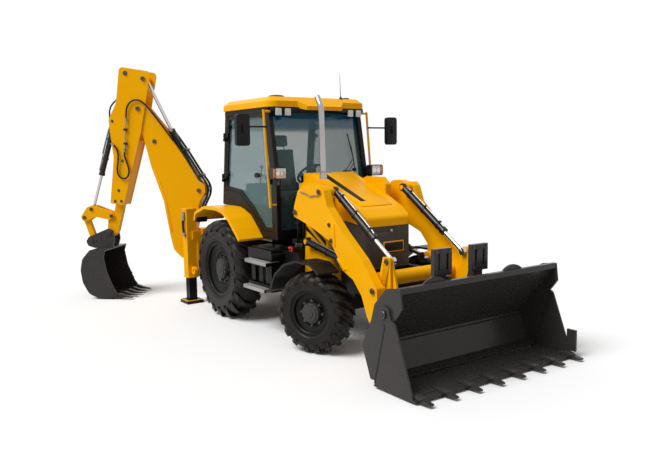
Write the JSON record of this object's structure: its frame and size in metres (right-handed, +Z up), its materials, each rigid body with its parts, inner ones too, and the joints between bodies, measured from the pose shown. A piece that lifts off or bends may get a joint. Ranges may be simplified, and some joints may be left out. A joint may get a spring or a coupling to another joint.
{
  "type": "backhoe loader",
  "caption": "Wheeled backhoe loader with a clam loader bucket, enclosed cab and a side-shifting backhoe slewed to one side, on front steered wheels.",
  "frame": {"origin": "centre of the footprint box on the ground", "axes": "+X forward to the loader bucket, +Y to the driver's left, +Z up"},
  "size_m": [7.4146, 3.5723, 3.6715],
  "materials": {
    "yellow_paint": "satin gloss",
    "black_paint": "satin",
    "tyre_rubber": "matte",
    "tinted_glass": "polished",
    "chromed_rod": "polished",
    "ram_black": "satin",
    "bucket_charcoal": "satin",
    "rim_black": "satin",
    "dark_plastic": "matte",
    "seat_fabric": "woven",
    "lamp_plastic": "gloss",
    "stainless": "satin",
    "castings": "painted"
  },
  "bodies": {
    "chassis": {"chassis_frame": "yellow_paint", "rear_frame": "yellow_paint", "loader_towers": "yellow_paint", "engine_block": "castings", "front_axle": "castings", "rear_axle": "castings", "cab_frame": "black_paint", "cab_roof": "yellow_paint", "cab_glass": "tinted_glass", "seat": "seat_fabric", "seat_base": "dark_plastic", "steering_column": "dark_plastic", "rear_fenders": "yellow_paint", "step_platforms": "black_paint", "scuttle": "black_paint", "grille": "dark_plastic", "side_cowls": "yellow_paint", "exhaust_stack": "stainless", "lamps": "lamp_plastic", "grab_rails": "yellow_paint", "mirrors": "dark_plastic"},
    "bonnet": {"bonnet": "yellow_paint"},
    "door_left": {"door_frame_left": "black_paint", "door_glass_left": "tinted_glass"},
    "door_right": {"door_frame_right": "black_paint", "door_glass_right": "tinted_glass"},
    "knuckle_right": {"knuckle_right": "castings"},
    "knuckle_left": {"knuckle_left": "castings"},
    "front_wheel_right": {"front_tyre_right": "tyre_rubber", "front_wheel_right": "rim_black"},
    "front_wheel_left": {"front_tyre_left": "tyre_rubber", "front_wheel_left": "rim_black"},
    "rear_wheel_right": {"rear_tyre_right": "tyre_rubber", "rear_wheel_right": "rim_black"},
    "rear_wheel_left": {"rear_tyre_left": "tyre_rubber", "rear_wheel_left": "rim_black"},
    "loader_arms": {"loader_arms": "yellow_paint"},
    "lift_ram_barrels": {"lift_ram_barrels": "ram_black"},
    "lift_ram_rods": {"lift_ram_rods": "chromed_rod"},
    "tilt_ram_barrels": {"tilt_ram_barrels": "ram_black"},
    "tilt_ram_rods": {"tilt_ram_rods": "chromed_rod"},
    "tilt_levers": {"tilt_levers": "yellow_paint"},
    "tilt_links": {"tilt_links": "yellow_paint"},
    "loader_bucket": {"bucket_back": "bucket_charcoal", "fold_forks": "bucket_charcoal"},
    "bucket_clam": {"bucket_clam": "bucket_charcoal"},
    "stabiliser_left": {"stabiliser_left": "black_paint"},
    "stabiliser_right": {"stabiliser_right": "black_paint"},
    "kingpost_carriage": {"kingpost_carriage": "yellow_paint"},
    "slew_post": {"slew_post": "yellow_paint"},
    "boom": {"boom": "yellow_paint"},
    "dipper": {"dipper": "yellow_paint"},
    "dipper_slider": {"dipper_slider": "yellow_paint"},
    "dipper_ram_barrel": {"dipper_ram_barrel": "ram_black"},
    "dipper_ram_rod": {"dipper_ram_rod": "chromed_rod"},
    "bucket_ram_barrel": {"bucket_ram_barrel": "ram_black"},
    "bucket_ram_rod": {"bucket_ram_rod": "chromed_rod"},
    "tipping_lever": {"tipping_lever": "yellow_paint"},
    "tipping_link": {"tipping_link": "yellow_paint"},
    "dig_bucket": {"dig_bucket": "bucket_charcoal"}
  },
  "joints": [
    {"name": "bonnet_lift", "type": "hinge", "parent": "chassis", "child": "bonnet", "pos_m": [0.58233, 0.48867, 1.98753], "axis": [0, -1, 0], "range_deg": [0, 40]},
    {"name": "door_left_swing", "type": "hinge", "parent": "chassis", "child": "door_left", "pos_m": [-0.93601, 1.26667, 2.29753], "axis": [0.1334, 0, 0.9911], "range_deg": [0, 90]},
    {"name": "door_right_swing", "type": "hinge", "parent": "chassis", "child": "door_right", "pos_m": [-0.93601, -0.28933, 2.29753], "axis": [-0.1334, 0, -0.9911], "range_deg": [0, 90]},
    {"name": "steer_right", "type": "hinge", "parent": "chassis", "child": "knuckle_right", "pos_m": [1.50733, -0.25133, 0.47253], "axis": [0, 0, 1], "range_deg": [-60, 19.5]},
    {"name": "front_wheel_right_spin", "type": "hinge", "parent": "knuckle_right", "child": "front_wheel_right", "pos_m": [1.57387, -0.4293, 0.47253], "axis": [-0.3502, 0.9367, 0], "continuous": true},
    {"name": "rear_wheel_right_spin", "type": "hinge", "parent": "chassis", "child": "rear_wheel_right", "pos_m": [-0.66267, -0.39133, 0.68753], "axis": [0, 1, 0], "continuous": true},
    {"name": "steer_left", "type": "hinge", "parent": "chassis", "child": "knuckle_left", "pos_m": [1.50733, 1.22867, 0.47253], "axis": [0, 0, 1], "range_deg": [-60, 19.5]},
    {"name": "front_wheel_left_spin", "type": "hinge", "parent": "knuckle_left", "child": "front_wheel_left", "pos_m": [1.4408, 1.40663, 0.47253], "axis": [-0.3502, 0.9367, 0], "continuous": true},
    {"name": "rear_wheel_left_spin", "type": "hinge", "parent": "chassis", "child": "rear_wheel_left", "pos_m": [-0.66267, 1.36867, 0.68753], "axis": [0, 1, 0], "continuous": true},
    {"name": "loader_lift", "type": "hinge", "parent": "chassis", "child": "loader_arms", "pos_m": [0.92733, 0.48867, 1.57753], "axis": [0, -1, 0], "range_deg": [0, 85]},
    {"name": "bucket_tilt", "type": "hinge", "parent": "loader_arms", "child": "loader_bucket", "pos_m": [2.55733, 0.48867, 0.35753], "axis": [0, 1, 0], "range_deg": [-40, 125]},
    {"name": "clam_open", "type": "hinge", "parent": "loader_bucket", "child": "bucket_clam", "pos_m": [3.11733, 0.48867, 0.76753], "axis": [0, -1, 0], "range_deg": [0, 55]},
    {"name": "lift_ram_swing", "type": "hinge", "parent": "chassis", "child": "lift_ram_barrels", "pos_m": [0.87733, 0.48867, 1.18753], "axis": [0, -1, 0], "range_deg": [-1, 72.24]},
    {"name": "lift_ram_stroke", "type": "slide", "parent": "lift_ram_barrels", "child": "lift_ram_rods", "axis": [0.9818, 0, -0.19], "range_m": [-0.01, 0.464]},
    {"name": "tilt_lever_swing", "type": "hinge", "parent": "loader_arms", "child": "tilt_levers", "pos_m": [2.42733, 0.48867, 0.82753], "axis": [0, 1, 0], "range_deg": [-41, 126]},
    {"name": "tilt_link_swing", "type": "hinge", "parent": "tilt_levers", "child": "tilt_links", "pos_m": [2.48733, 0.48867, 1.13753], "axis": [0, 1, 0], "range_deg": [-126, 41]},
    {"name": "tilt_ram_swing", "type": "hinge", "parent": "loader_arms", "child": "tilt_ram_barrels", "pos_m": [1.44733, 0.48867, 1.84753], "axis": [0, 1, 0], "range_deg": [-4.77, 12.79]},
    {"name": "tilt_ram_stroke", "type": "slide", "parent": "tilt_ram_barrels", "child": "tilt_ram_rods", "axis": [0.8259, 0, -0.5638], "range_m": [-0.1607, 0.481]},
    {"name": "stabiliser_left_drop", "type": "slide", "parent": "chassis", "child": "stabiliser_left", "axis": [0, 0, 1], "range_m": [-0.15, 0.33]},
    {"name": "stabiliser_right_drop", "type": "slide", "parent": "chassis", "child": "stabiliser_right", "axis": [0, 0, 1], "range_m": [-0.15, 0.33]},
    {"name": "kingpost_shift", "type": "slide", "parent": "chassis", "child": "kingpost_carriage", "axis": [0, 1, 0], "range_m": [0, 1.1]},
    {"name": "backhoe_slew", "type": "hinge", "parent": "kingpost_carriage", "child": "slew_post", "pos_m": [-2.02267, -0.06133, 0.74753], "axis": [0, 0, -1], "range_deg": [-44, 123]},
    {"name": "boom_lift", "type": "hinge", "parent": "slew_post", "child": "boom", "pos_m": [-2.24148, -0.28793, 0.75553], "axis": [-0.7193, 0.6947, 0], "range_deg": [-95, 10]},
    {"name": "dipper_swing", "type": "hinge", "parent": "boom", "child": "dipper", "pos_m": [-2.75067, -0.8152, 3.02253], "axis": [-0.7193, 0.6947, 0], "range_deg": [0, 108]},
    {"name": "dipper_extend", "type": "slide", "parent": "dipper", "child": "dipper_slider", "axis": [-0.1349, -0.1397, -0.981], "range_m": [0, 0.9]},
    {"name": "dig_bucket_curl", "type": "hinge", "parent": "dipper_slider", "child": "dig_bucket", "pos_m": [-3.16052, -1.23961, 1.03653], "axis": [0.7193, -0.6947, 0], "range_deg": [-90, 40]},
    {"name": "dipper_ram_swing", "type": "hinge", "parent": "boom", "child": "dipper_ram_barrel", "pos_m": [-2.09144, -0.13255, 1.72653], "axis": [-0.7193, 0.6947, 0], "range_deg": [-2.56, 1]},
    {"name": "dipper_ram_stroke", "type": "slide", "parent": "dipper_ram_barrel", "child": "dipper_ram_rod", "axis": [-0.3005, -0.3112, 0.9016], "range_m": [-0.7771, 0.01]},
    {"name": "tipping_lever_swing", "type": "hinge", "parent": "dipper_slider", "child": "tipping_lever", "pos_m": [-3.13829, -1.21659, 1.31253], "axis": [0.7193, -0.6947, 0], "range_deg": [-68.61, 31.05]},
    {"name": "tipping_link_swing", "type": "hinge", "parent": "tipping_lever", "child": "tipping_link", "pos_m": [-3.46478, -1.55468, 1.28653], "axis": [0.7193, -0.6947, 0], "range_deg": [-23.31, 51.19]},
    {"name": "bucket_ram_swing", "type": "hinge", "parent": "dipper_slider", "child": "bucket_ram_barrel", "pos_m": [-3.07368, -1.1497, 2.83353], "axis": [0.7193, -0.6947, 0], "range_deg": [-6.01, 12.28]},
    {"name": "bucket_ram_stroke", "type": "slide", "parent": "bucket_ram_barrel", "child": "bucket_ram_rod", "axis": [-0.2049, -0.2122, -0.9555], "range_m": [-0.3164, 0.1462]}
  ],
  "couplings": [
    {"joint": "steer_left", "follows": "steer_right", "ratio": 1},
    {"joint": "lift_ram_swing", "follows": "loader_lift", "ratio": 0.83813},
    {"joint": "lift_ram_stroke", "follows": "loader_lift", "m_per_rad": 0.30599},
    {"joint": "tilt_lever_swing", "follows": "bucket_tilt", "ratio": 1},
    {"joint": "tilt_link_swing", "follows": "bucket_tilt", "ratio": -1},
    {"joint": "tilt_ram_swing", "follows": "bucket_tilt", "ratio": 0.094318},
    {"joint": "tilt_ram_stroke", "follows": "bucket_tilt", "m_per_rad": 0.21589},
    {"joint": "dipper_ram_swing", "follows": "dipper_swing", "ratio": -0.014476},
    {"joint": "dipper_ram_stroke", "follows": "dipper_swing", "m_per_rad": -0.40693},
    {"joint": "tipping_lever_swing", "follows": "dig_bucket_curl", "ratio": 0.75125},
    {"joint": "tipping_link_swing", "follows": "dig_bucket_curl", "ratio": -0.55764},
    {"joint": "bucket_ram_swing", "follows": "dig_bucket_curl", "ratio": -0.12529},
    {"joint": "bucket_ram_stroke", "follows": "dig_bucket_curl", "m_per_rad": 0.19503}
  ]
}
